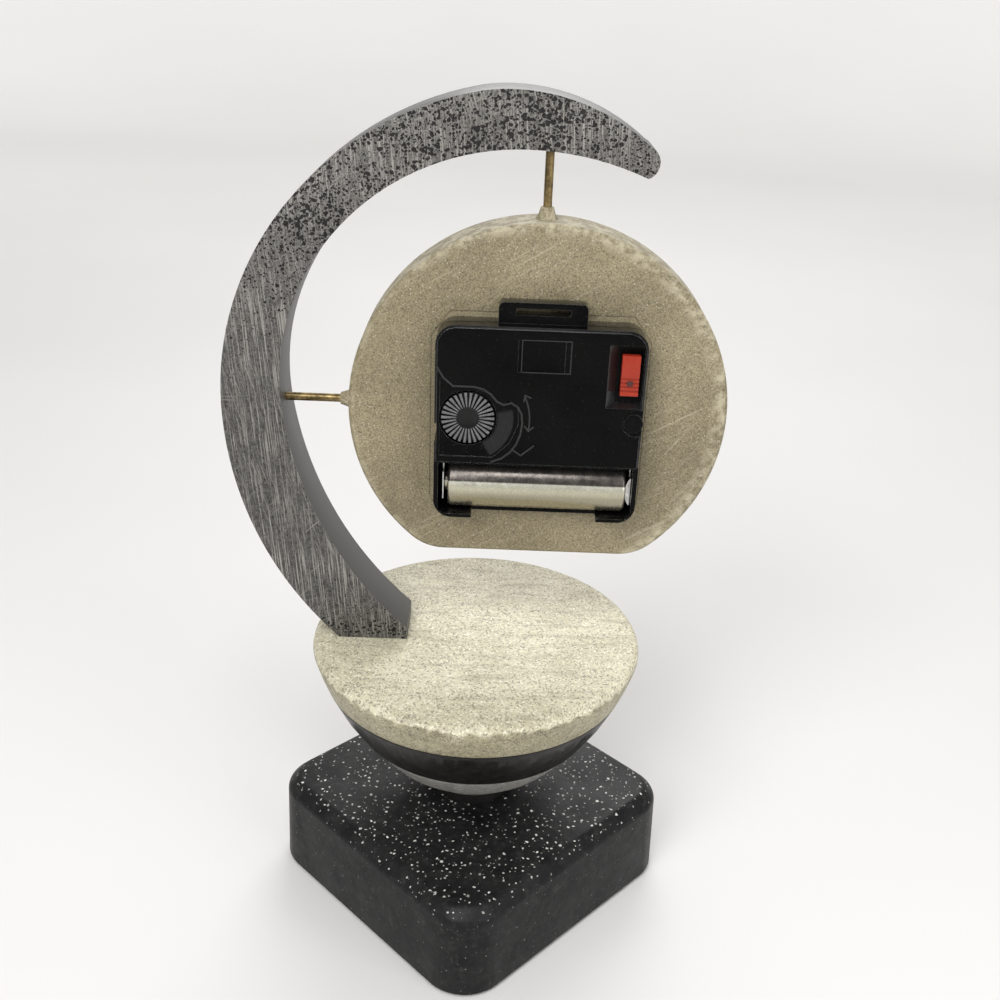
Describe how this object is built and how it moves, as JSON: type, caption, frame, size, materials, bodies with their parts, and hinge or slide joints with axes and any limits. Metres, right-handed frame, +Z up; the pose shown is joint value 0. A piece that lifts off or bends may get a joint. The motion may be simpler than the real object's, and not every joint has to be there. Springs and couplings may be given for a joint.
{
  "type": "crescent desk clock",
  "caption": "Desk clock: round dial with a battery quartz movement, hung by rods inside a crescent arm on a layered stone bowl and a square base.",
  "frame": {"origin": "centre of the felt under the base, on the table", "axes": "+Z up, -Y the way the dial faces, +X toward the crescent's outer side"},
  "size_m": [0.1395, 0.122, 0.2463],
  "materials": {
    "base_stone": "satin, black with pale flecks",
    "felt": "matt",
    "steel": "plain",
    "dark_spacer": "satin",
    "grey_stone": "satin speckled",
    "dark_stone": "polished",
    "cream_stone": "satin speckled",
    "cast_metal": "ground, pitted",
    "aged_brass": "aged",
    "cast_resin": "matt, brushed",
    "clean_brass": "satin",
    "rubber": "matt",
    "case_black": "satin moulded",
    "wheel_white": "satin moulded",
    "slider_orange": "satin moulded",
    "battery_wrap": "gloss printed sleeve, bare of words",
    "contact_metal": "bright",
    "board": "satin",
    "chip_black": "gloss dome",
    "can": "bright",
    "stator_steel": "bright",
    "bobbin_white": "satin",
    "copper": "enamelled wire",
    "magnet": "matt sintered",
    "knob_black": "satin moulded",
    "hand_black": "satin",
    "hand_red": "satin"
  },
  "bodies": {
    "stand": {"base_block": "base_stone", "felt_pad": "felt", "clamp_bolt": "steel", "clamp_washer": "steel", "spacer_collar": "dark_spacer", "bowl_bottom_layer": "grey_stone", "bowl_middle_layer": "dark_stone", "bowl_top_layer": "cream_stone", "crescent_arm": "cast_metal", "arm_dowels": "steel", "top_rod": "aged_brass", "side_rod": "aged_brass", "clock_disc": "cast_resin", "hour_markers": "clean_brass", "rubber_washer": "rubber", "threaded_bushing": "clean_brass", "brass_washer": "clean_brass", "hex_nut": "clean_brass", "movement_case": "case_black", "middle_plate": "wheel_white", "rear_cover": "case_black", "battery": "battery_wrap", "positive_contact": "contact_metal", "negative_contact": "contact_metal", "circuit_board": "board", "chip": "chip_black", "quartz_crystal": "can", "stator": "stator_steel", "coil_bobbin": "bobbin_white", "coil_winding": "copper"},
    "minute": {"minute_arbor": "clean_brass", "minute_hand": "hand_black"},
    "reduction": {"minute_wheel": "wheel_white"},
    "hour": {"hour_wheel": "wheel_white", "hour_hand": "hand_black"},
    "knob": {"time_set_knob": "knob_black", "setting_pinion": "wheel_white"},
    "second": {"second_wheel": "wheel_white", "second_hand": "hand_red"},
    "third": {"third_wheel": "wheel_white"},
    "centre": {"centre_wheel": "wheel_white"},
    "intermediate": {"intermediate_wheel": "wheel_white"},
    "rotor": {"rotor": "wheel_white", "rotor_magnet": "magnet"},
    "slider": {"start_stop_slider": "slider_orange"}
  },
  "joints": [
    {"name": "minute_spin", "type": "hinge", "parent": "stand", "child": "minute", "pos_m": [-0.0149, 0, 0.1615], "axis": [0, 1, 0], "continuous": true},
    {"name": "reduction_spin", "type": "hinge", "parent": "stand", "child": "reduction", "pos_m": [-0.00702, 0, 0.16441], "axis": [0, 1, 0], "continuous": true},
    {"name": "hour_spin", "type": "hinge", "parent": "stand", "child": "hour", "pos_m": [-0.0149, 0, 0.1615], "axis": [0, 1, 0], "continuous": true},
    {"name": "knob_spin", "type": "hinge", "parent": "stand", "child": "knob", "pos_m": [0.0041, 0, 0.16311], "axis": [0, 1, 0], "continuous": true},
    {"name": "second_spin", "type": "hinge", "parent": "stand", "child": "second", "pos_m": [-0.0149, 0, 0.1615], "axis": [0, 1, 0], "continuous": true},
    {"name": "third_spin", "type": "hinge", "parent": "stand", "child": "third", "pos_m": [-0.02226, 0, 0.16575], "axis": [0, 1, 0], "continuous": true},
    {"name": "centre_spin", "type": "hinge", "parent": "stand", "child": "centre", "pos_m": [-0.0149, 0, 0.1615], "axis": [0, 1, 0], "continuous": true},
    {"name": "intermediate_spin", "type": "hinge", "parent": "stand", "child": "intermediate", "pos_m": [-0.01291, 0, 0.16892], "axis": [0, 1, 0], "continuous": true},
    {"name": "rotor_spin", "type": "hinge", "parent": "stand", "child": "rotor", "pos_m": [-0.00955, 0, 0.17474], "axis": [0, 1, 0], "continuous": true},
    {"name": "slider_slide", "type": "slide", "parent": "stand", "child": "slider", "axis": [0, 0, 1], "range_m": [-0.0022, 0.0022]}
  ],
  "couplings": [
    {"joint": "reduction_spin", "follows": "minute_spin", "ratio": -0.33333},
    {"joint": "hour_spin", "follows": "minute_spin", "ratio": 0.083333},
    {"joint": "knob_spin", "follows": "minute_spin", "ratio": 0.42857},
    {"joint": "third_spin", "follows": "second_spin", "ratio": -0.13333},
    {"joint": "centre_spin", "follows": "second_spin", "ratio": 0.016667},
    {"joint": "intermediate_spin", "follows": "second_spin", "ratio": -5},
    {"joint": "rotor_spin", "follows": "second_spin", "ratio": 30}
  ]
}
